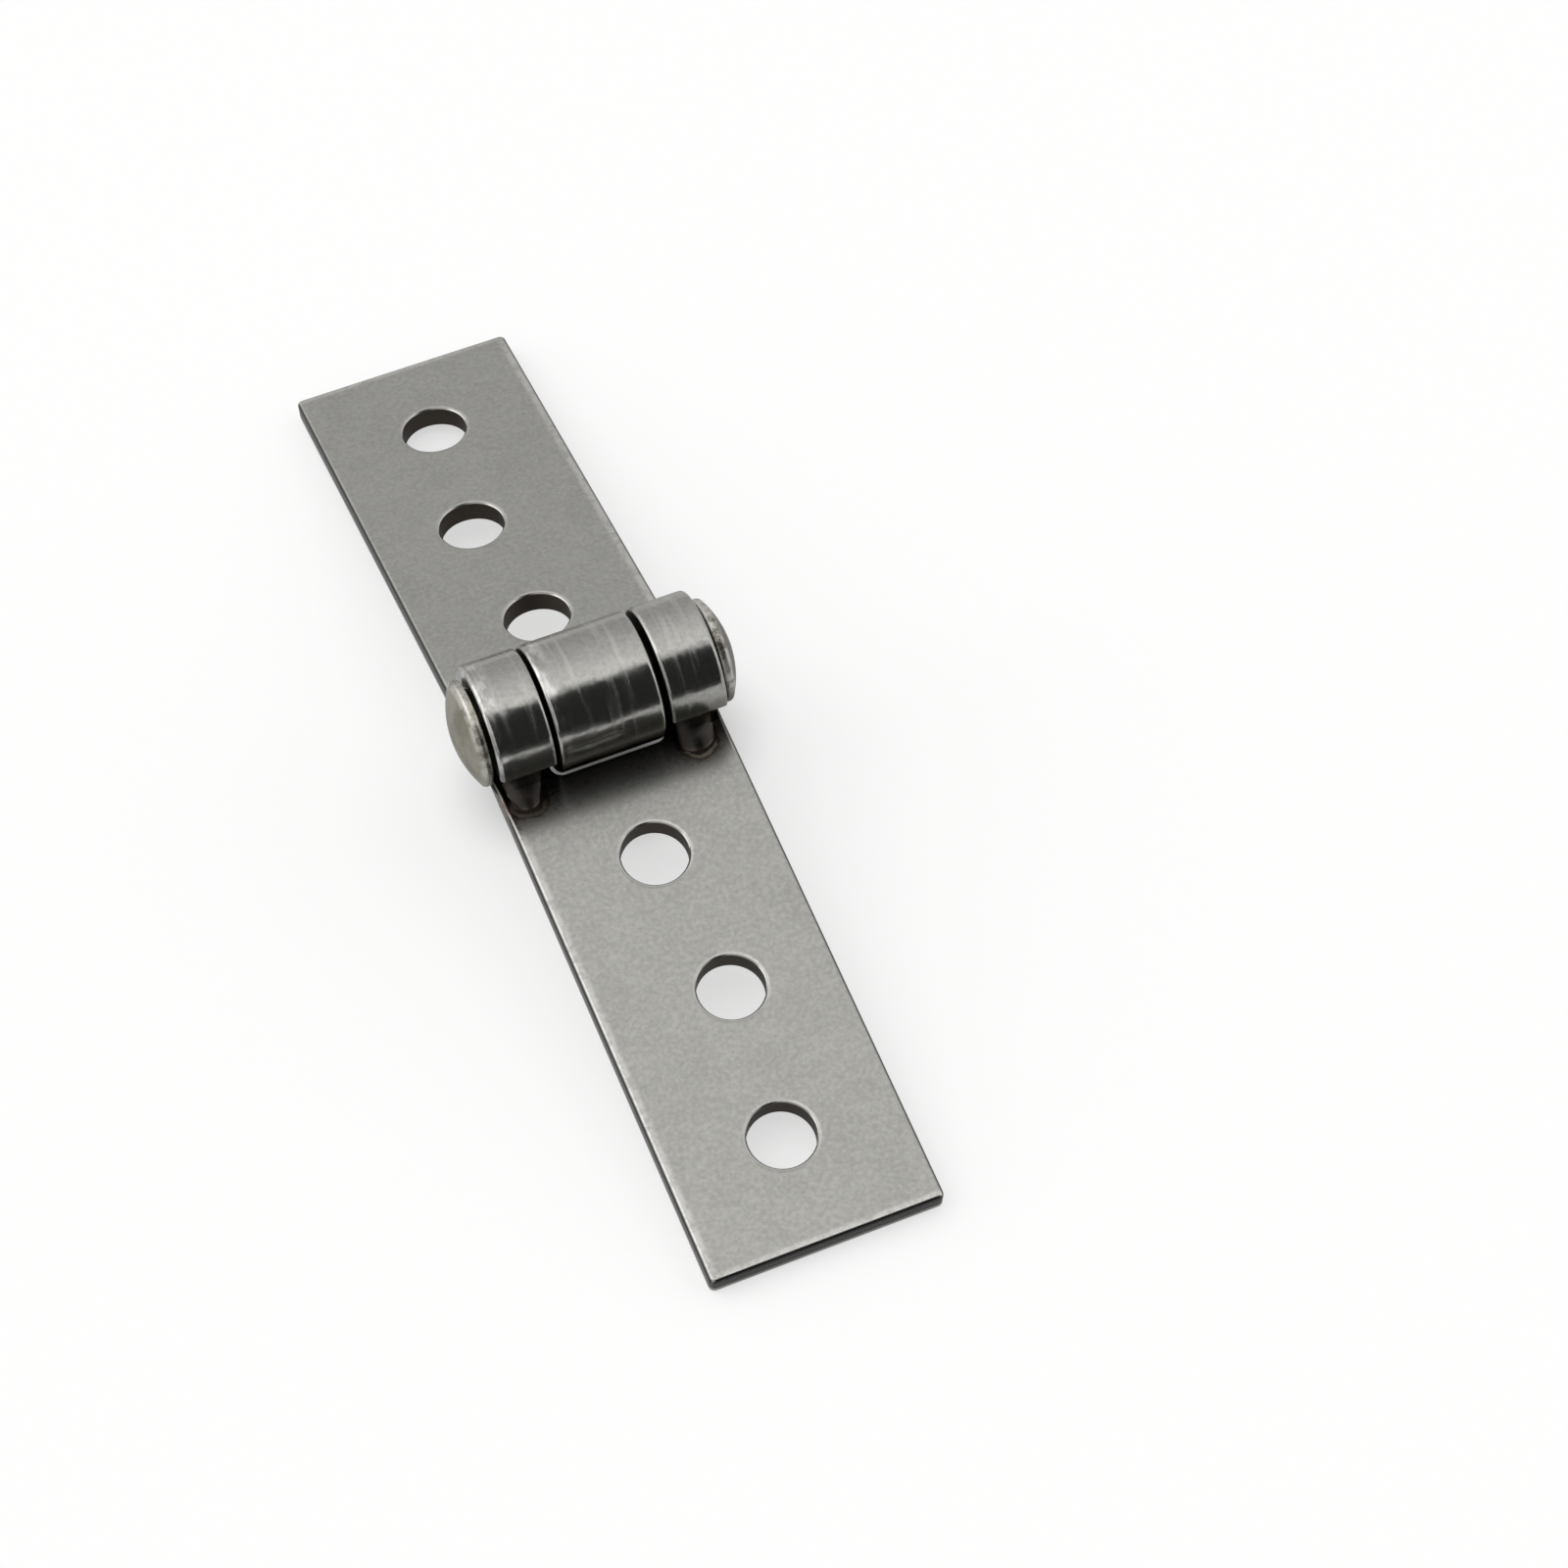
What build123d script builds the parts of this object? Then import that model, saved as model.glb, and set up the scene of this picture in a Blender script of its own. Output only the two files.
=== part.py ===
from build123d import *
import os
from math import cos, radians, sin, sqrt

# Strip hinge for a window: two leaves of sheet steel, each curled round one riveted pin.
# It stands as a low tent, barrel up. The origin is on the floor under the middle of the pin,
# X runs along the pin, Y towards the sash leaf and Z up. Millimetres and degrees.

# Sheet and leaves
sheet = 2.0
leaf_width = 20.0
leaf_length = 50.8
leaf_tilt = 8.6
corner_round = 0.5
edge_round = 0.35

# Pin and knuckles
pin_diameter = 7.0
pin_clearance = 0.05
outer_curl_wrap = 266.0
centre_curl_wrap = 300.0
centre_knuckle_width = 9.3
knuckle_side_gap = 0.4
sash_leaf_play = -0.1
root_clearance = 0.2
root_corner_round = 1.0

# Screw holes: a row of three in each leaf, the middle one off the centre line
hole_diameter = 5.7
first_hole = 14.2
hole_pitch = 13.5
middle_hole_offset = -1.2
hole_deburr = 0.12

# Rivet heads: the formed one at the left and the peened one at the right
head_diameters = (9.2, 9.0)
head_gap = 0.25
head_band = 0.7
head_dome = 1.3
head_edge_round = 0.3

# Tack welds that close the outer curls: a foot on the leaf, a neck, and a root as wide as the curl's end
weld_insets = (2.05, 2.8)
weld_foot_widths = (2.3, 3.2)
weld_foot_depth = 2.8
weld_bed = 0.3
weld_neck_height = 1.3
weld_neck_width = 3.3
weld_neck_depth = 1.8
weld_neck_tuck = 0.7
weld_root_height = 4.4
weld_root_width = 4.6
weld_root_depth = 1.6
weld_root_tuck = 0.95

# Sizes that follow
knuckle_inner = pin_diameter / 2 + pin_clearance
knuckle_outer = knuckle_inner + sheet
root = sqrt((knuckle_outer + root_clearance) ** 2 - knuckle_inner**2)
slot_width = centre_knuckle_width + 2 * knuckle_side_gap
tilt = radians(leaf_tilt)
pin_height = (
    (leaf_length - edge_round) * sin(tilt) + (knuckle_outer - edge_round) * cos(tilt) + edge_round
)
pin_axis = Axis((0, 0, pin_height), (1, 0, 0))


def leaf_plan(side, shift):
    """Plane through the pin, parallel to a leaf: x along the pin, y out along the leaf, z up."""
    return Plane(
        origin=(shift, 0, pin_height), x_dir=(side, 0, 0), z_dir=(0, side * sin(tilt), cos(tilt))
    )


def curl_section(plan, start, wrap):
    """Section of a curl at a place along the pin: under the pin, round it and back towards the leaf."""
    side_view = Plane(plan.origin, x_dir=plan.y_dir, z_dir=plan.x_dir)
    with BuildSketch(side_view.offset(start)) as section:
        with BuildLine():
            outside = CenterArc((0, 0), knuckle_outer, -90, -wrap)
            inside = CenterArc((0, 0), knuckle_inner, -90, -wrap)
            Line(outside @ 0, inside @ 0)
            Line(outside @ 1, inside @ 1)
        make_face()
    return section.sketch


def outline_edges(leaf, plan):
    """Edges of a leaf's sides and curls, without the upright ones and the seams of the bends."""
    edges = leaf.faces().filter_by(Axis.X).edges()
    along_leaf = Axis(plan.origin, plan.y_dir)
    return edges.filter_by(GeomType.CIRCLE) + edges.filter_by(along_leaf)


def screw_holes(plan):
    """A leaf's row of screw holes, drawn on the middle of its sheet."""
    mid_sheet = plan.offset(-(knuckle_inner + sheet / 2))
    centres = [
        (0, first_hole),
        (middle_hole_offset, first_hole + hole_pitch),
        (0, first_hole + 2 * hole_pitch),
    ]
    with BuildSketch(mid_sheet) as row:
        with Locations(*centres):
            Circle(hole_diameter / 2)
    return row.sketch


def rim_edges(leaf):
    """Both rims of every screw hole."""
    return leaf.edges().filter_by(
        lambda edge: edge.geom_type == GeomType.CIRCLE and abs(edge.radius - hole_diameter / 2) < 1e-6
    )


# Frame leaf: the two outer knuckles, with a slot for the centre knuckle between them
frame_plan = leaf_plan(-1, 0)
face_plan = frame_plan.offset(-knuckle_inner)
with BuildPart() as frame_leaf:
    with BuildSketch(frame_plan.offset(-knuckle_outer)) as blank:
        Rectangle(leaf_width, leaf_length, align=(Align.CENTER, Align.MIN))
        Rectangle(slot_width, root, align=(Align.CENTER, Align.MIN), mode=Mode.SUBTRACT)
        fillet(blank.vertices().group_by(Axis.Y)[-1], corner_round)
        fillet(blank.vertices().group_by(Axis.Y)[1], root_corner_round)
    extrude(amount=sheet)
    for start in (-leaf_width / 2, slot_width / 2):
        curl = curl_section(frame_plan, start, outer_curl_wrap)
        extrude(curl, amount=(leaf_width - slot_width) / 2)
    fillet(outline_edges(frame_leaf, frame_plan), edge_round)
    extrude(screw_holes(frame_plan), amount=sheet, both=True, mode=Mode.SUBTRACT)
    chamfer(rim_edges(frame_leaf), hole_deburr)
    for side, inset, foot_width in zip((1, -1), weld_insets, weld_foot_widths):
        foot_spot = (side * (leaf_width / 2 - inset), knuckle_outer)
        neck_spot = (foot_spot[0], knuckle_outer - weld_neck_tuck)
        root_spot = (side * (leaf_width + slot_width) / 4, knuckle_outer - weld_root_tuck)
        with BuildSketch(face_plan.offset(-weld_bed)):
            with Locations(foot_spot):
                Ellipse(foot_width / 2, weld_foot_depth / 2)
        with BuildSketch(face_plan.offset(weld_neck_height)):
            with Locations(neck_spot):
                Ellipse(weld_neck_width / 2, weld_neck_depth / 2)
        with BuildSketch(face_plan.offset(weld_root_height)):
            with Locations(root_spot):
                Ellipse(weld_root_width / 2, weld_root_depth / 2)
        loft()
frame_leaf.part.label = "frame_leaf"

# Sash leaf: the centre knuckle, with a notch for an outer knuckle on each side of it
sash_plan = leaf_plan(1, sash_leaf_play)
with BuildPart() as sash_leaf:
    with BuildSketch(sash_plan.offset(-knuckle_outer)) as blank:
        with Locations((0, root)):
            Rectangle(leaf_width, leaf_length - root, align=(Align.CENTER, Align.MIN))
        Rectangle(centre_knuckle_width, root, align=(Align.CENTER, Align.MIN))
        fillet(blank.vertices().group_by(Axis.Y)[-1], corner_round)
        shoulders = blank.vertices().group_by(Axis.Y)[1].sort_by(Axis.X)
        fillet(shoulders[1:3], root_corner_round)
    extrude(amount=sheet)
    curl = curl_section(sash_plan, -centre_knuckle_width / 2, centre_curl_wrap)
    extrude(curl, amount=centre_knuckle_width)
    fillet(outline_edges(sash_leaf, sash_plan), edge_round)
    extrude(screw_holes(sash_plan), amount=sheet, both=True, mode=Mode.SUBTRACT)
    chamfer(rim_edges(sash_leaf), hole_deburr)
sash_leaf.part.label = "sash_leaf"

# Rivet pin: one turned pin with a domed head at each end
head_seat = leaf_width / 2 + head_gap
dome_base = head_seat + head_band
with BuildPart() as rivet_pin:
    for side, head_diameter in zip((-1, 1), head_diameters):
        dome_radius = ((head_diameter / 2) ** 2 + head_dome**2) / (2 * head_dome)
        half_plane = Plane((0, 0, pin_height), x_dir=(side, 0, 0), z_dir=(0, -side, 0))
        with BuildSketch(half_plane) as half_section:
            with BuildLine():
                middle = Line((0, 0), (0, pin_diameter / 2))
                shank = Line(middle @ 1, (head_seat, pin_diameter / 2))
                seat = Line(shank @ 1, (head_seat, head_diameter / 2))
                band = Line(seat @ 1, (dome_base, head_diameter / 2))
                dome = RadiusArc(band @ 1, (dome_base + head_dome, 0), dome_radius)
                Line(dome @ 1, middle @ 0)
            make_face()
            fillet(half_section.vertices().group_by(Axis.Y)[-1], head_edge_round)
        revolve(axis=pin_axis)
rivet_pin.part.label = "rivet_pin"

os.makedirs("parts", exist_ok=True)
for piece in (frame_leaf, sash_leaf, rivet_pin):
    export_step(piece.part, f"parts/{piece.part.label}.step")
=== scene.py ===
from functools import reduce
from math import radians, tan
from types import SimpleNamespace

import bpy
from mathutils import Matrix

# Strip hinge of a window, standing as a low tent with its barrel up. Metres, in the frame of the CAD:
# X along the pin, Y towards the sash leaf, Z up.
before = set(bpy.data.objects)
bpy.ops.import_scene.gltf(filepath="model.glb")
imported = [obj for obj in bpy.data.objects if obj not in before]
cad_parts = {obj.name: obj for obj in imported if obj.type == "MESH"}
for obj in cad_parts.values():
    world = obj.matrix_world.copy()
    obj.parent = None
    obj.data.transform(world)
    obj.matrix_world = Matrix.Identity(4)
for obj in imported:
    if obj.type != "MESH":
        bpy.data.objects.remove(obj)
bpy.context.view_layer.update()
MM = 0.001

# Sizes repeated from the CAD source. A hole's place is across a leaf and out along it
PIN_HEIGHT = 13.0356 * MM
LEAF_TILT = radians(8.6)
SHEET = 2.0 * MM
HALF_WIDTH = 10.0 * MM
LEAF_LENGTH = 50.8 * MM
KNUCKLE_INNER = 3.55 * MM
KNUCKLE_OUTER = 5.55 * MM
CENTRE_HALF_WIDTH = 4.65 * MM
KNUCKLE_GAP = 0.4 * MM
HOLE_RADIUS = 2.85 * MM
HOLES = ((0.0, 14.2 * MM), (-1.2 * MM, 27.7 * MM), (0.0, 41.2 * MM))
FRAME_SIDE = -1
SASH_SIDE = 1
SASH_PLAY = -0.1 * MM
HEAD_RADIUS = 4.5 * MM
SHANK_END = 10.25 * MM

# Slight slope of the leaves' faces beside the barrel, which is shading only
LEAF_DIP = radians(5.2)
DIP_START = 12.8 * MM
DIP_BEND = 5.0 * MM

# Textures: features in a metre, along each axis where they differ, then detail and roughness
GRAIN = (2600.0, 3.0, 0.6)
MOTTLE = (420.0, 3.0, 0.6)
CLOUD = (70.0, 2.0, 0.5)
ROLLING = ((2600.0, 120.0, 2600.0), 2.0, 0.5)
RINGS = ((5200.0, 60.0, 60.0), 3.0, 0.65)
SCUFFS = ((1400.0, 110.0, 110.0), 2.0, 0.5)
PATCHES = ((1100.0, 500.0, 500.0), 3.0, 0.6)
RUBS = (1300.0, 3.0, 0.6)
LONG_WAVES = (330.0, 2.0, 0.5)
SHORT_WAVES = ((1300.0, 160.0, 160.0), 2.0, 0.5)
TEARS = (1500.0, 2.0, 0.5)
WELD_RIPPLE = (700.0, 2.0, 0.5)
HAMMER_BLOWS = (650.0, 4.0, 0.65)
SPECKS = (5200.0, 2.0, 0.5)
HEAD_STAINS = (330.0, 3.0, 0.6)
PAPER_FIBRE = (900.0, 2.0, 0.5)

# Levels of a texture between which its mark grows from none to full
SHADE_LEVELS = (0.30, 0.70)
RING_LEVELS = (0.35, 0.7)
SCUFF_LEVELS = (0.56, 0.72)
PATCH_LEVELS = (0.45, 0.65)
RUB_LEVELS = (0.30, 0.60)
BLOW_LEVELS = (0.36, 0.58)
SPECK_LEVELS = (0.62, 0.8)
STAIN_LEVELS = (0.35, 0.65)
WEAR_LEVELS = (0.45, 0.95)

# Where a mark starts and where it is full, measured from the place that its comment names
CURL_FADE = (0.25 * MM, 0.05 * MM)  # outside of a knuckle
GRIME_FADE = (0.10 * MM, 0.01 * MM)  # edge of a gap between knuckles
POLISH_FADE = (2.0 * MM, 0.6 * MM)  # left end of a knuckle
STAIN_FADE = (1.3 * MM, 0.2 * MM)  # height of the pin
UNDER_FADE = (-0.3 * MM, -1.2 * MM)  # height of the pin
CORNER_FADE = (2.6 * MM, -0.2 * MM)  # side of the barrel
FACE_FADE = (-0.26 * MM, -0.10 * MM)  # edge of a leaf
TORN_FADE = (-0.1 * MM, -0.5 * MM)  # middle of the sheet
SIDE_LIP_FADE = (-1.0 * MM, -0.5 * MM)  # side of a leaf
END_LIP_FADE = (-0.85 * MM, -0.45 * MM)  # end of a leaf
HOLE_WALL_FADE = (0.04 * MM, 0.005 * MM)  # wall of a screw hole
HOLE_RIM_FADE = (0.40 * MM, 0.10 * MM)  # wall of a screw hole
HEAD_RIM_FADE = (-0.65 * MM, -0.25 * MM)  # side of a rivet head
HEAD_TOP_FADE = (-1.2 * MM, 0.6 * MM)  # height of the pin
RIGHT_HEAD_FADE = (0.0, 1.0 * MM)  # middle of the pin
SHANK_FADE = (0.15 * MM, 0.0)  # end of the shank
FACE_SLACK = 0.02 * MM

# Least share of a mark that never fades out
RUB_LEAST = 0.35
LOWER_HEAD_RIM = 0.1

# Colours of the leaves, and how much of the colour below some of them cover
STEEL_DARK = (0.465, 0.463, 0.439, 1)
STEEL_LIGHT = (0.625, 0.622, 0.591, 1)
TURNED = (0.66, 0.65, 0.63, 1)
TURNED_COVER = 0.35
SCUFFED = (0.82, 0.81, 0.78, 1)
SCUFFED_COVER = 0.35
HOLE_RIM = (0.74, 0.73, 0.70, 1)
HOLE_RIM_COVER = 0.6
# Painted highlight on the lips of one side edge and the end of each leaf
BRIGHT_LIP = (0.88, 0.87, 0.84, 1)
BRIGHT_LIP_COVER = 0.8
# Painted highlight at each knuckle's left end
POLISHED = (0.95, 0.94, 0.92, 1)
HOLE_WALL = (0.10, 0.085, 0.072, 1)
# Near-black painted shade on the upper part of the sheared faces
BURNISHED = (0.08, 0.078, 0.076, 1)
TORN = (0.60, 0.59, 0.57, 1)
# Painted shade on the barrel's lower half
STAINED = (0.17, 0.165, 0.14, 1)
STAINED_COVER = 0.55
# Painted shade under the barrel and in the corner beside it
DIRT = (0.10, 0.095, 0.09, 1)
DIRT_COVER = 0.75
# Near-black painted shade in the gaps between knuckles
GRIME = (0.025, 0.024, 0.022, 1)
# Specular tints: plain, and darkened under the barrel as painted shade
CLEAN_TINT = (1, 1, 1, 1)
DIRTY_TINT = (0.2, 0.195, 0.185, 1)
GRAIN_SHARE = 0.68
MOTTLE_SHARE = 0.20
CLOUD_SHARE = 0.12

# Welds on the frame leaf: which end of the barrel, and how far in. Their tint fades in shares of its reach,
# and the weld zone's painted shade ends above the leaf's face, near the height of the pin and inside the curl
WELDS = ((1, 2.05 * MM), (-1, 2.8 * MM))
WELD_RISE = 0.4 * MM
WELD_REACH = 1.9 * MM
WELD_RIPPLE_SHARE = 0.4
STRAW_TINT = (0.42, 0.37, 0.31, 1)
STRAW_FADE = (1.55, 1.30)
STRAW_COVER = 0.5
PURPLE_TINT = (0.12, 0.085, 0.08, 1)
PURPLE_FADE = (1.32, 1.15)
PURPLE_COVER = 0.85
# Pale crescent painted as a highlight on each weld bead's rim
WELD_BEAD = (0.78, 0.70, 0.56, 1)
BEAD_OUTER_FADE = (1.20, 1.12)
BEAD_INNER_FADE = (0.96, 1.04)
BEAD_FOOT_FADE = (0.5 * MM, 1.1 * MM)
BEAD_SIDE_FADE = (1.0 * MM, -1.0 * MM)
LEFT_BEAD_COVER = 0.4
# Near-black painted shade on the weld zone under each curl's end
WELD_METAL = (0.085, 0.078, 0.072, 1)
WELD_METAL_COVER = 0.9
WELD_FOOT_FADE = (0.05 * MM, 0.3 * MM)
WELD_TOP_FADE = (0.45 * MM, 0.25 * MM)
WELD_INNER = KNUCKLE_INNER - 0.3 * MM

# Colours of the rivet pin
HEAD_DARK = (0.34, 0.32, 0.262, 1)
HEAD_LIGHT = (0.52, 0.508, 0.43, 1)
RIGHT_HEAD = (0.11, 0.10, 0.08, 1)
RIGHT_HEAD_COVER = 0.75
HAMMERED = (0.80, 0.78, 0.73, 1)
SPECK = (0.30, 0.27, 0.24, 1)
SPECK_COVER = 0.4
# Near-black painted shade on the shank, which shows through the gaps
SHANK = (0.03, 0.029, 0.027, 1)

# Roughness where a texture is lowest and highest, and what marks add to a leaf's
SHEET_ROUGHNESS = (0.33, 0.26)
HEAD_ROUGHNESS = (0.24, 0.42)
SPECKS_IN_WEAR = 0.4
CURL_ROUGHNESS = -0.13
RUBBED_ROUGHNESS = -0.08
SCUFF_ROUGHNESS = 0.10
TORN_ROUGHNESS = 0.16
HOLE_ROUGHNESS = 0.14
GRIME_ROUGHNESS = 0.30

# Relief: depths and strengths, and how much of one texture joins another
GRAIN_DEPTH = 0.004 * MM
GRAIN_STRENGTH = 0.35
ROLLING_IN_GRAIN = 0.35
RINGS_IN_GRAIN = 0.8
WAVE_DEPTH = 0.10 * MM
SHORT_WAVES_IN_LONG = 0.12
RIM_DEPTH = 0.05 * MM
TEAR_DEPTH = 0.02 * MM
TEAR_STRENGTH = 0.6
HAMMER_DEPTH = 0.04 * MM
HAMMER_STRENGTH = 0.5
BLOWS_IN_HAMMERING = 1.6
SPECKS_IN_HAMMERING = 0.12

# Studio light by direction: a sky that grows from the far horizon to the top of the wall on the camera's
# side, and is brighter at the left. The wall is dark in the strip that the barrel mirrors, and grey beside it
FRONT = (-0.287, -0.958, 0.0)
LEFT = (-1.0, 0.0, 0.0)
SKY_COLOUR = (1.0, 0.995, 0.985, 1)
SKY_FAR = 0.42
SKY_TOP = 0.95
SKY_LEFT_GAIN = 1.70
SKY_LEFT_FADE = (-0.15, 0.6)
WALL_TOP = 0.27
WALL_BLUR = 0.10
WALL_LIGHT = 0.42
STRIP_LIGHT = 0.022
STRIP_MIDDLE = 0.17
STRIP_HALF_WIDTH = 0.19
STRIP_BLUR = 0.22

# Floor: pale paper that ends in front of the hinge, with a glow that fades out under the barrel as a painted
# shadow
FLOOR_SIZE = 4.0
PAPER_DARK = (0.59, 0.59, 0.592, 1)
PAPER_LIGHT = (0.61, 0.61, 0.612, 1)
PAPER_ROUGHNESS = 0.9
PAPER_SPECULAR = 0.2
PAPER_END = 84 * MM
PAPER_FADE = 14 * MM
BEYOND_PAPER = (0.03, 0.03, 0.03, 1)
WHITE = (1, 1, 1, 1)
FLOOR_GLOW = 0.585
FLOOR_SHEEN = 0.10
SHADE_MIDDLE = (1.5 * MM, 2.2 * MM, 0.0)
SHADE_REACH = (16 * MM, 11 * MM, 1.0)
SHADE_FADE = (0.15, 1.0)

# Camera that took the photo
CAMERA_PLACE = (-0.062407, -0.207644, 0.296855)
CAMERA_TURN = (35.955, 1.36, -22.728)
CAMERA_LENS = 99.15
CAMERA_SENSOR = 36.0
CAMERA_CLIP = 0.01


class Nodes:
    """Short calls for building the node tree of a material or of the world."""

    def __init__(self, owner, shader="Principled BSDF"):
        self.owner = owner
        owner.use_nodes = True
        self.tree = owner.node_tree
        self.shader = self.tree.nodes[shader]

    def put(self, socket, value):
        """Sets a socket to a value, or links another node's output to it."""
        if isinstance(value, bpy.types.NodeSocket):
            self.tree.links.new(value, socket)
        else:
            socket.default_value = value

    def put_all(self, node, inputs):
        """Sets or links a node's inputs by name."""
        for key, value in inputs.items():
            self.put(node.inputs[key.replace("_", " ")], value)

    def set_shader(self, **inputs):
        self.put_all(self.shader, inputs)

    def add(self, kind, settings=None, **inputs):
        """A node with its settings, whose inputs are values or other nodes' outputs."""
        node = self.tree.nodes.new(kind)
        for key, value in (settings or {}).items():
            setattr(node, key, value)
        self.put_all(node, inputs)
        return node

    def operate(self, kind, operation, values):
        """A node that works on values in order."""
        node = self.add(kind, {"operation": operation})
        for socket, value in zip(node.inputs, values):
            self.put(socket, value)
        return node

    def math(self, operation, *values):
        return self.operate("ShaderNodeMath", operation, values).outputs[0]

    def vector(self, operation, *values):
        node = self.operate("ShaderNodeVectorMath", operation, values)
        return node.outputs["Value" if operation in ("DISTANCE", "LENGTH", "DOT_PRODUCT") else "Vector"]

    def product(self, *values):
        return reduce(lambda first, second: self.math("MULTIPLY", first, second), values)

    def largest(self, *values):
        return reduce(lambda first, second: self.math("MAXIMUM", first, second), values)

    def smallest(self, *values):
        return reduce(lambda first, second: self.math("MINIMUM", first, second), values)

    def rest_of(self, share):
        """What a share leaves of 1."""
        return self.math("SUBTRACT", 1.0, share)

    def apart(self, first, second):
        """How far apart two numbers are."""
        return self.math("ABSOLUTE", self.math("SUBTRACT", first, second))

    def split(self, place):
        return self.add("ShaderNodeSeparateXYZ", Vector=place).outputs

    def from_pin(self, place):
        """Distance from the pin's axis, for a place that is measured from a point on it."""
        return self.vector("LENGTH", self.vector("MULTIPLY", place, (0, 1, 1)))

    def ramp(self, value, start, end, to_start=0.0, to_end=1.0):
        """Smooth step of a value from one range to another. The end may lie below the start."""
        settings = {"interpolation_type": "SMOOTHSTEP", "clamp": True}
        limits = {"From_Min": start, "From_Max": end, "To_Min": to_start, "To_Max": to_end}
        return self.add("ShaderNodeMapRange", settings, Value=value, **limits).outputs[0]

    def fade(self, value, origin, limits):
        """Share of a mark, which starts and is full at two distances from an origin."""
        return self.ramp(value, origin + limits[0], origin + limits[1])

    def mix(self, share, first, second):
        """Colour mix. The node keeps its colours at inputs 6 and 7, and the mixed one at output 2."""
        node = self.add("ShaderNodeMix", {"data_type": "RGBA", "clamp_factor": True})
        for socket, value in ((0, share), (6, first), (7, second)):
            self.put(node.inputs[socket], value)
        return node.outputs[2]

    def layered(self, colour, layers):
        """A colour with layers over it, each with the share that it covers."""
        for share, layer in layers:
            colour = self.mix(share, colour, layer)
        return colour

    def noise(self, place, scale, detail, roughness):
        """Noise whose scale is one number, or one for each axis."""
        if isinstance(scale, tuple):
            place = self.vector("MULTIPLY", place, scale)
            scale = 1.0
        texture = {"Scale": scale, "Detail": detail, "Roughness": roughness}
        return self.add("ShaderNodeTexNoise", Vector=place, **texture).outputs[0]

    def bump(self, height, depth, strength=1.0, normal=None):
        node = self.add("ShaderNodeBump", Strength=strength, Distance=depth, Height=height)
        if normal is not None:
            self.put(node.inputs["Normal"], normal)
        return node.outputs[0]


def object_place(nodes):
    """Place on a piece, in the frame of the CAD."""
    return nodes.add("ShaderNodeTexCoord").outputs["Object"]


def leaf_place(nodes, side):
    """Place on a leaf: x along the pin, y out along the leaf, z up from the pin."""
    play = SASH_PLAY if side == SASH_SIDE else 0.0
    plan = {"Location": (play, 0, PIN_HEIGHT), "Rotation": (-side * LEAF_TILT, 0, 0)}
    turned = nodes.add("ShaderNodeMapping", {"vector_type": "TEXTURE"}, Vector=object_place(nodes), **plan)
    return nodes.vector("MULTIPLY", turned.outputs[0], (side, side, 1))


def sheet_marks(nodes, leaf):
    """Grain and rolling marks, and the shade that grain, mottling and clouds make together."""
    leaf.grain = nodes.noise(leaf.place, *GRAIN)
    leaf.rolling = nodes.noise(leaf.place, *ROLLING)
    mottle = nodes.product(nodes.noise(leaf.place, *MOTTLE), MOTTLE_SHARE)
    cloud = nodes.product(nodes.noise(leaf.place, *CLOUD), CLOUD_SHARE)
    shade = nodes.math("ADD", nodes.product(leaf.grain, GRAIN_SHARE), mottle)
    leaf.shade = nodes.math("ADD", shade, cloud)


def curl_marks(nodes, leaf, side):
    """Turning marks and scuffs on the barrel, painted shade in its gaps, and a painted highlight at a
    knuckle's left end.
    """
    leaf.rings = nodes.noise(leaf.place, *RINGS)
    scuffs = nodes.ramp(nodes.noise(leaf.place, *SCUFFS), *SCUFF_LEVELS)
    leaf.scuffs = nodes.product(leaf.curl, scuffs)

    # Knuckle ends beside each gap are painted near black as shade
    gap_middle = CENTRE_HALF_WIDTH + KNUCKLE_GAP / 2
    off_gap = nodes.apart(nodes.math("ABSOLUTE", leaf.x), gap_middle)
    leaf.grime = nodes.product(leaf.curl, nodes.fade(off_gap, KNUCKLE_GAP / 2, GRIME_FADE))

    # Patches at each knuckle's left end are painted bright as highlights
    left_end = -side * (CENTRE_HALF_WIDTH if side == SASH_SIDE else HALF_WIDTH)
    by_left_end = nodes.ramp(nodes.apart(leaf.x, left_end), *POLISH_FADE)
    patches = nodes.ramp(nodes.noise(leaf.place, *PATCHES), *PATCH_LEVELS)
    leaf.polish = nodes.product(leaf.curl, patches, by_left_end)


def dirt_marks(nodes, leaf):
    """Painted shade on the barrel's lower half, and darker painted shade under it and in the corner between
    it and the leaf.
    """
    height = nodes.split(object_place(nodes))[2]
    # The barrel's lower half, its underside and the corner beside it are painted darker as shade
    leaf.stain = nodes.product(leaf.curl, nodes.fade(height, PIN_HEIGHT, STAIN_FADE))
    leaf.under = nodes.product(leaf.curl, nodes.fade(height, PIN_HEIGHT, UNDER_FADE))
    corner = nodes.product(leaf.flat, nodes.fade(leaf.y, KNUCKLE_OUTER, CORNER_FADE))
    leaf.dirt = nodes.largest(leaf.under, corner)


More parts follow.
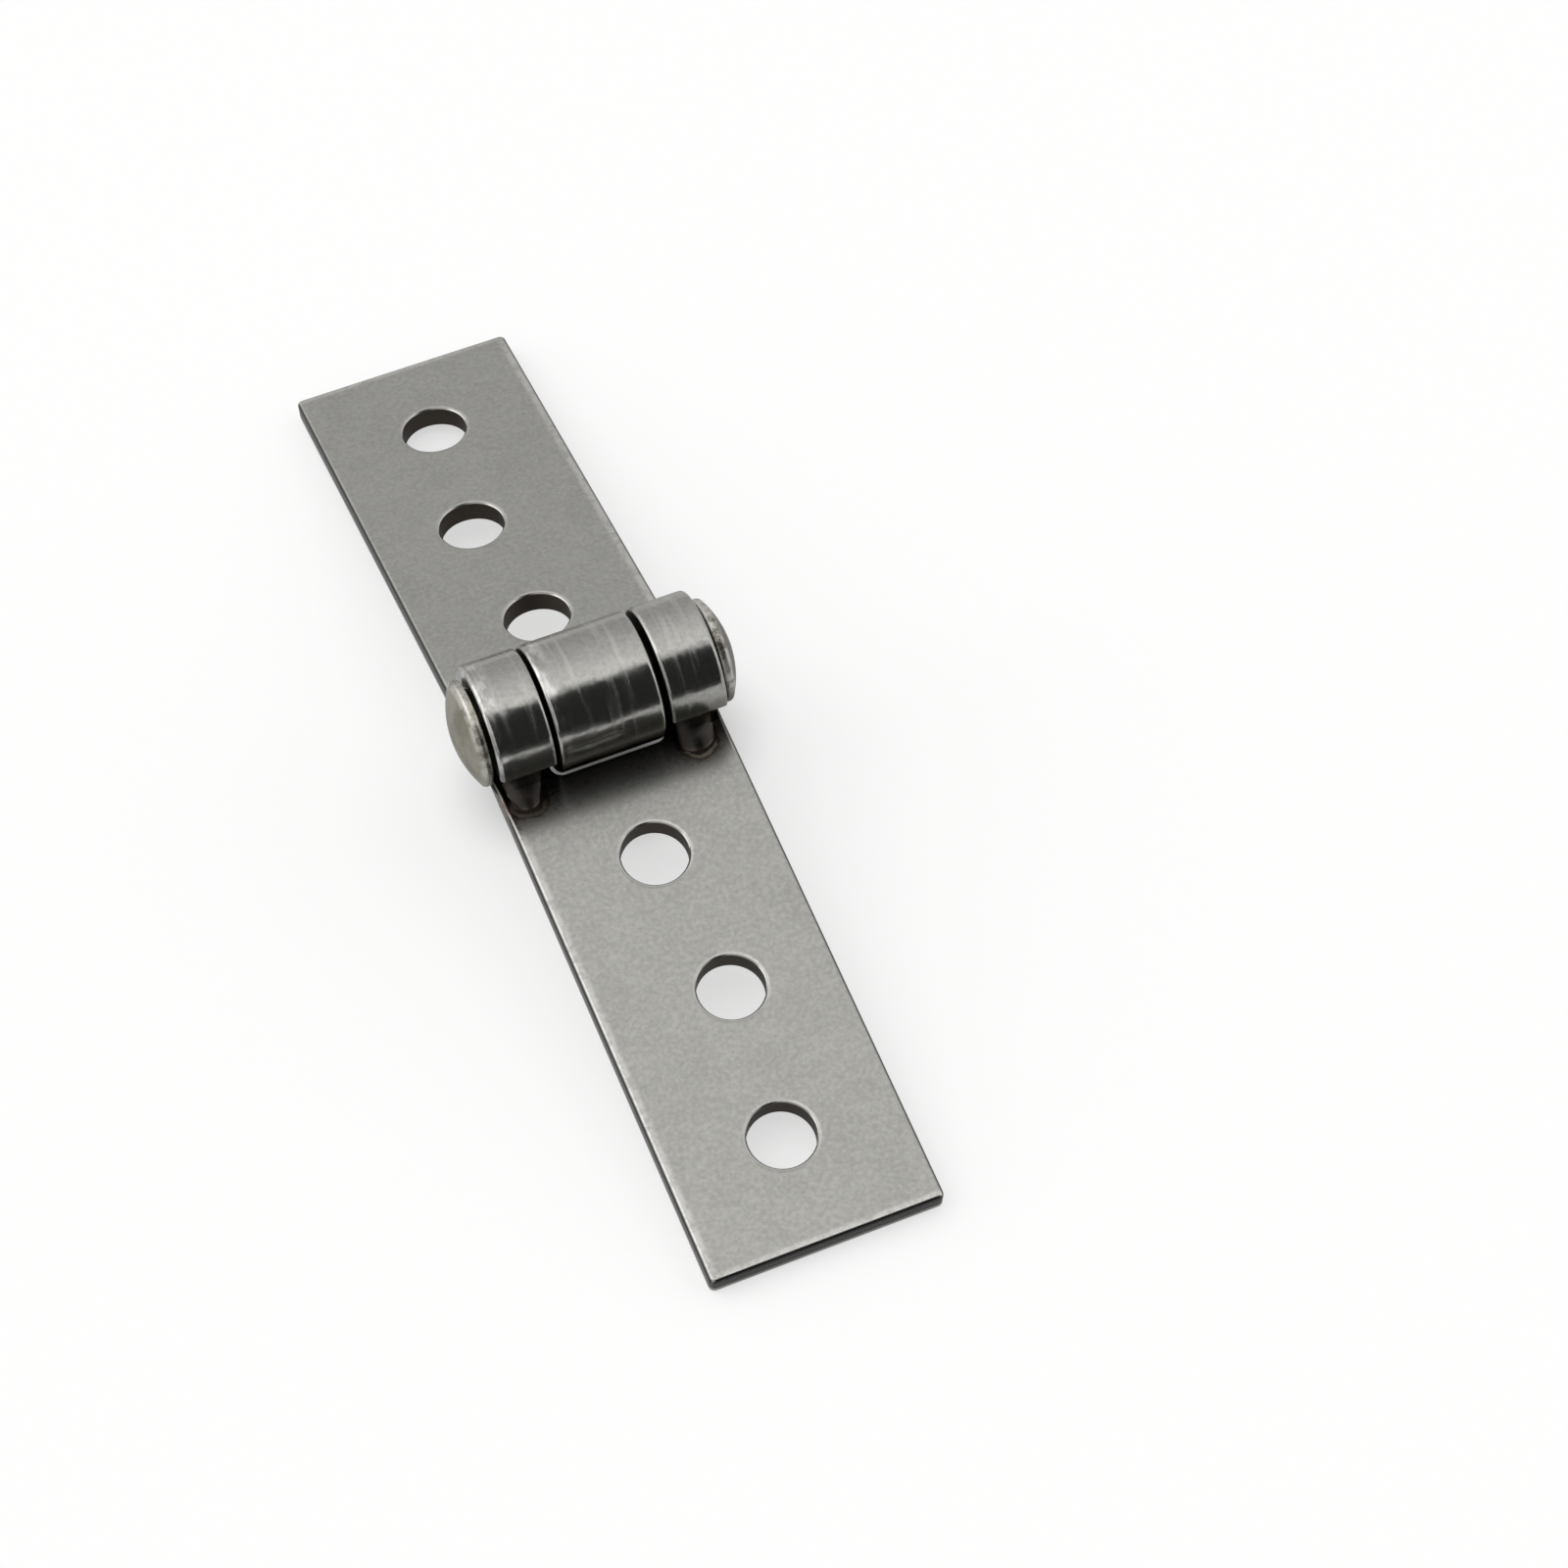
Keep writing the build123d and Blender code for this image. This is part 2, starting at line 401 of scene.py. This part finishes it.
def edge_marks(nodes, leaf):
    """Sheared faces, painted near black as shade near the top and torn below, and painted highlights on the
    lips beside two of them.
    """
    top_face = -KNUCKLE_INNER
    side_face = nodes.fade(nodes.math("ABSOLUTE", leaf.x), HALF_WIDTH, FACE_FADE)
    end_face = nodes.fade(leaf.y, LEAF_LENGTH, FACE_FADE)
    below_top = nodes.math("LESS_THAN", leaf.z, top_face + FACE_SLACK)
    leaf.sheared = nodes.product(below_top, nodes.largest(side_face, end_face))
    leaf.torn = nodes.fade(leaf.z, top_face - SHEET / 2, TORN_FADE)

    # Lips along one side edge and the end are painted bright as highlights, broken up by noise
    side_lip = nodes.product(leaf.flat, nodes.fade(leaf.x, HALF_WIDTH, SIDE_LIP_FADE))
    end_lip = nodes.fade(leaf.y, LEAF_LENGTH, END_LIP_FADE)
    rubbed = nodes.ramp(nodes.noise(leaf.place, *RUBS), *RUB_LEVELS, RUB_LEAST)
    leaf.lip = nodes.product(nodes.largest(side_lip, end_lip), rubbed)


def hole_marks(nodes, leaf):
    """The walls inside the screw holes, and their broken rims."""
    spot = nodes.add("ShaderNodeCombineXYZ", X=leaf.x, Y=leaf.y).outputs[0]
    away = nodes.smallest(*[nodes.vector("DISTANCE", spot, (across, out, 0)) for across, out in HOLES])
    leaf.wall = nodes.fade(away, HOLE_RADIUS, HOLE_WALL_FADE)
    leaf.rim = nodes.fade(away, HOLE_RADIUS, HOLE_RIM_FADE)


def leaf_marks(nodes, side):
    """Places on a leaf, and its marks: textures, and shares from 0 to 1 of what shows at a place."""
    leaf = SimpleNamespace(place=leaf_place(nodes, side))
    leaf.x, leaf.y, leaf.z = nodes.split(leaf.place)
    leaf.curl = nodes.fade(nodes.from_pin(leaf.place), KNUCKLE_OUTER, CURL_FADE)
    leaf.flat = nodes.rest_of(leaf.curl)
    sheet_marks(nodes, leaf)
    curl_marks(nodes, leaf, side)
    dirt_marks(nodes, leaf)
    edge_marks(nodes, leaf)
    hole_marks(nodes, leaf)
    return leaf


def leaf_layers(nodes, leaf):
    """Colours that lie over the bare steel, in order."""
    turned = nodes.product(leaf.curl, nodes.ramp(leaf.rings, *RING_LEVELS, 0.0, TURNED_COVER))
    return (
        (turned, TURNED),
        (nodes.product(leaf.scuffs, SCUFFED_COVER), SCUFFED),
        (nodes.product(leaf.rim, HOLE_RIM_COVER), HOLE_RIM),
        (nodes.product(leaf.lip, BRIGHT_LIP_COVER), BRIGHT_LIP),
        (leaf.polish, POLISHED),
        (leaf.wall, HOLE_WALL),
        (leaf.sheared, nodes.mix(leaf.torn, BURNISHED, TORN)),
        (nodes.product(leaf.stain, STAINED_COVER), STAINED),
        (nodes.product(leaf.dirt, DIRT_COVER), DIRT),
        (leaf.grime, GRIME),
    )


def weld_layers(nodes, leaf):
    """Heat tint of straw and purple round each weld's foot, a pale crescent painted as a highlight on the
    bead's rim, and near-black painted shade on the weld zone.
    """
    spots = [(end * (HALF_WIDTH - inset), KNUCKLE_OUTER, WELD_RISE - KNUCKLE_INNER) for end, inset in WELDS]
    away = nodes.smallest(*[nodes.vector("DISTANCE", leaf.place, spot) for spot in spots])
    away = nodes.math("DIVIDE", away, WELD_REACH)
    ripple = nodes.noise(leaf.place, *WELD_RIPPLE)
    away = nodes.math("MULTIPLY_ADD", ripple, WELD_RIPPLE_SHARE, away)
    # Pale crescent at each weld's foot, painted as the highlight on the bead's rim
    bead = nodes.product(
        nodes.ramp(away, *BEAD_OUTER_FADE),
        nodes.ramp(away, *BEAD_INNER_FADE),
        nodes.fade(leaf.y, KNUCKLE_OUTER, BEAD_FOOT_FADE),
        nodes.ramp(leaf.x, *BEAD_SIDE_FADE, LEFT_BEAD_COVER),
    )
    # The weld zone under the curl's end is painted near black as shade
    metal = nodes.product(
        nodes.fade(leaf.z, -KNUCKLE_INNER, WELD_FOOT_FADE),
        nodes.ramp(leaf.z, *WELD_TOP_FADE),
        nodes.math("GREATER_THAN", leaf.y, WELD_INNER),
    )
    return (
        (nodes.ramp(away, *STRAW_FADE, 0.0, STRAW_COVER), STRAW_TINT),
        (nodes.ramp(away, *PURPLE_FADE, 0.0, PURPLE_COVER), PURPLE_TINT),
        (bead, WELD_BEAD),
        (nodes.product(metal, WELD_METAL_COVER), WELD_METAL),
    )


def leaf_roughness(nodes, leaf):
    """Satin sheet that is smoother on the curl and rubbed edges, and rougher where torn and in the painted
    shade of the gaps.
    """
    roughness = nodes.ramp(leaf.shade, *SHADE_LEVELS, *SHEET_ROUGHNESS)
    changes = (
        (leaf.curl, CURL_ROUGHNESS),
        (nodes.largest(leaf.rim, leaf.lip), RUBBED_ROUGHNESS),
        (leaf.scuffs, SCUFF_ROUGHNESS),
        (nodes.product(leaf.sheared, leaf.torn), TORN_ROUGHNESS),
        (leaf.wall, HOLE_ROUGHNESS),
        (leaf.grime, GRIME_ROUGHNESS),
    )
    for share, change in changes:
        roughness = nodes.math("MULTIPLY_ADD", share, change, roughness)
    return roughness


def dip(nodes, out):
    """Height of a leaf's face where the bend pulls it down a little beside the barrel."""
    inwards = nodes.largest(nodes.math("SUBTRACT", DIP_START, out), 0.0)
    bent = nodes.smallest(inwards, DIP_BEND)
    straight = nodes.math("SUBTRACT", inwards, bent)
    bend_drop = nodes.math("DIVIDE", nodes.product(bent, bent), 2 * DIP_BEND)
    return nodes.product(nodes.math("ADD", bend_drop, straight), -tan(LEAF_DIP))


def leaf_normal(nodes, leaf):
    """Relief of grain and rings, the curl's waves, the holes' rims, the dip by the barrel and torn faces."""
    relief = nodes.math("MULTIPLY_ADD", leaf.rolling, ROLLING_IN_GRAIN, leaf.grain)
    relief = nodes.product(leaf.flat, relief)
    rings = nodes.product(leaf.curl, leaf.rings)
    relief = nodes.math("MULTIPLY_ADD", rings, RINGS_IN_GRAIN, relief)
    long_waves = nodes.noise(leaf.place, *LONG_WAVES)
    short_waves = nodes.noise(leaf.place, *SHORT_WAVES)
    waves = nodes.math("MULTIPLY_ADD", short_waves, SHORT_WAVES_IN_LONG, long_waves)
    tears = nodes.noise(leaf.place, *TEARS)
    normal = nodes.bump(relief, GRAIN_DEPTH, GRAIN_STRENGTH)
    normal = nodes.bump(waves, WAVE_DEPTH, leaf.curl, normal)
    normal = nodes.bump(nodes.product(leaf.rim, -1.0), RIM_DEPTH, 1.0, normal)
    normal = nodes.bump(dip(nodes, leaf.y), 1.0, leaf.flat, normal)
    return nodes.bump(tears, TEAR_DEPTH, nodes.product(leaf.sheared, TEAR_STRENGTH), normal)


def leaf_steel(name, side):
    """Fine satin stainless sheet, with welds on the frame leaf."""
    nodes = Nodes(bpy.data.materials.new(name))
    leaf = leaf_marks(nodes, side)
    colour = nodes.mix(nodes.ramp(leaf.shade, *SHADE_LEVELS), STEEL_DARK, STEEL_LIGHT)
    colour = nodes.layered(colour, leaf_layers(nodes, leaf))
    if side == FRAME_SIDE:
        colour = nodes.layered(colour, weld_layers(nodes, leaf))
    nodes.set_shader(
        Base_Color=colour,
        # Specular tint darkened under the barrel as painted shade
        Specular_Tint=nodes.mix(leaf.under, CLEAN_TINT, DIRTY_TINT),
        Roughness=leaf_roughness(nodes, leaf),
        Normal=leaf_normal(nodes, leaf),
        Metallic=1.0,
    )
    return nodes.owner


def pin_steel(name):
    """Peened rivet steel: olive domes, darker at the right, rims hammered bright with a painted highlight on
    top, and a shank painted near black as shade.
    """
    nodes = Nodes(bpy.data.materials.new(name))
    place = nodes.vector("SUBTRACT", object_place(nodes), (0, 0, PIN_HEIGHT))
    along, _, up = nodes.split(place)
    blows = nodes.noise(place, *HAMMER_BLOWS)
    specks = nodes.noise(place, *SPECKS)
    stains = nodes.noise(place, *HEAD_STAINS)

    rim = nodes.fade(nodes.from_pin(place), HEAD_RADIUS, HEAD_RIM_FADE)
    # The peened rim is real; keeping it bright mostly on top is a painted highlight
    on_top = nodes.ramp(up, *HEAD_TOP_FADE, LOWER_HEAD_RIM)
    layers = (
        (nodes.ramp(along, *RIGHT_HEAD_FADE, 0.0, RIGHT_HEAD_COVER), RIGHT_HEAD),
        (nodes.product(rim, nodes.ramp(blows, *BLOW_LEVELS), on_top), HAMMERED),
        (nodes.ramp(specks, *SPECK_LEVELS, 0.0, SPECK_COVER), SPECK),
        (nodes.fade(nodes.math("ABSOLUTE", along), SHANK_END, SHANK_FADE), SHANK),
    )
    dome = nodes.mix(nodes.ramp(stains, *STAIN_LEVELS), HEAD_DARK, HEAD_LIGHT)
    wear = nodes.math("ADD", blows, nodes.product(specks, SPECKS_IN_WEAR))
    fine = nodes.product(specks, SPECKS_IN_HAMMERING)
    relief = nodes.math("MULTIPLY_ADD", nodes.product(rim, blows), BLOWS_IN_HAMMERING, fine)
    nodes.set_shader(
        Base_Color=nodes.layered(dome, layers),
        Roughness=nodes.ramp(wear, *WEAR_LEVELS, *HEAD_ROUGHNESS),
        Normal=nodes.bump(relief, HAMMER_DEPTH, HAMMER_STRENGTH),
        Metallic=1.0,
    )
    return nodes.owner


def dress(node, material):
    """Gives a CAD node its material."""
    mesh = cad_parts[node].data
    mesh.materials.clear()
    mesh.materials.append(material)


def floor_glow(nodes, place, beyond):
    """Glow that whitens the floor for the camera, with a little of it for metal and glass.
    It fades out under the barrel as a painted shadow, where it would shine through the slot."""
    path = nodes.add("ShaderNodeLightPath").outputs
    mirrored = nodes.largest(path["Is Glossy Ray"], path["Is Transmission Ray"])
    mirrored = nodes.product(mirrored, nodes.rest_of(beyond))
    white = nodes.math("MULTIPLY_ADD", beyond, 1.0 - FLOOR_GLOW, FLOOR_GLOW)
    seen = nodes.product(path["Is Camera Ray"], white)
    glow = nodes.math("MULTIPLY_ADD", mirrored, FLOOR_SHEEN, seen)
    off_barrel = nodes.vector("DIVIDE", nodes.vector("SUBTRACT", place, SHADE_MIDDLE), SHADE_REACH)
    return nodes.product(glow, nodes.ramp(nodes.vector("LENGTH", off_barrel), *SHADE_FADE))


def floor():
    """Pale paper that looks white and keeps the hinge's soft shadow, with a painted shadow under the barrel.
    It ends at the foot of the wall.
    """
    bpy.ops.mesh.primitive_plane_add(size=FLOOR_SIZE, location=(0, 0, 0))
    plane = bpy.context.object
    plane.name = "floor"
    nodes = Nodes(bpy.data.materials.new("floor_paper"))
    place = object_place(nodes)
    paper = nodes.mix(nodes.noise(place, *PAPER_FIBRE), PAPER_DARK, PAPER_LIGHT)
    beyond = nodes.ramp(nodes.vector("DOT_PRODUCT", place, FRONT), PAPER_END, PAPER_END + PAPER_FADE)
    nodes.set_shader(
        Base_Color=nodes.mix(beyond, paper, BEYOND_PAPER),
        Emission_Strength=floor_glow(nodes, place, beyond),
        Emission_Color=WHITE,
        Roughness=PAPER_ROUGHNESS,
        Specular_IOR_Level=PAPER_SPECULAR,
    )
    plane.data.materials.append(nodes.owner)


def sky():
    """Soft light that grows from the far horizon to overhead, and ends at a wall on the camera's side."""
    world = bpy.data.worlds.new("studio")
    bpy.context.scene.world = world
    nodes = Nodes(world, "Background")
    towards = nodes.add("ShaderNodeTexCoord").outputs["Generated"]
    front = nodes.vector("DOT_PRODUCT", towards, FRONT)
    left = nodes.vector("DOT_PRODUCT", towards, LEFT)

    growth = {"From_Min": -1.0, "From_Max": WALL_TOP, "To_Min": SKY_FAR, "To_Max": SKY_TOP}
    open_sky = nodes.add("ShaderNodeMapRange", Value=front, **growth).outputs[0]
    open_sky = nodes.product(open_sky, nodes.ramp(left, *SKY_LEFT_FADE, 1.0, SKY_LEFT_GAIN))

    wall = nodes.ramp(front, WALL_TOP - WALL_BLUR, WALL_TOP + WALL_BLUR)
    strip_end = STRIP_HALF_WIDTH + STRIP_BLUR
    off_strip = nodes.apart(left, -STRIP_MIDDLE)
    wall_light = nodes.ramp(off_strip, STRIP_HALF_WIDTH, strip_end, STRIP_LIGHT, WALL_LIGHT)

    from_sky = nodes.product(open_sky, nodes.rest_of(wall))
    light = nodes.math("ADD", from_sky, nodes.product(wall, wall_light))
    camera_ray = nodes.add("ShaderNodeLightPath").outputs["Is Camera Ray"]
    nodes.set_shader(Strength=nodes.largest(light, camera_ray), Color=SKY_COLOUR)


def camera():
    """Camera at the photo's place."""
    data = bpy.data.cameras.new("photo_camera")
    data.lens = CAMERA_LENS
    data.sensor_width = CAMERA_SENSOR
    data.clip_start = CAMERA_CLIP
    shot = bpy.data.objects.new("photo_camera", data)
    shot.location = CAMERA_PLACE
    shot.rotation_euler = [radians(angle) for angle in CAMERA_TURN]
    bpy.context.scene.collection.objects.link(shot)
    bpy.context.scene.camera = shot


dress("frame_leaf", leaf_steel("frame_leaf_steel", FRAME_SIDE))
dress("sash_leaf", leaf_steel("sash_leaf_steel", SASH_SIDE))
dress("rivet_pin", pin_steel("rivet_pin_steel"))
floor()
sky()
camera()
bpy.context.scene.view_settings.view_transform = "Standard"
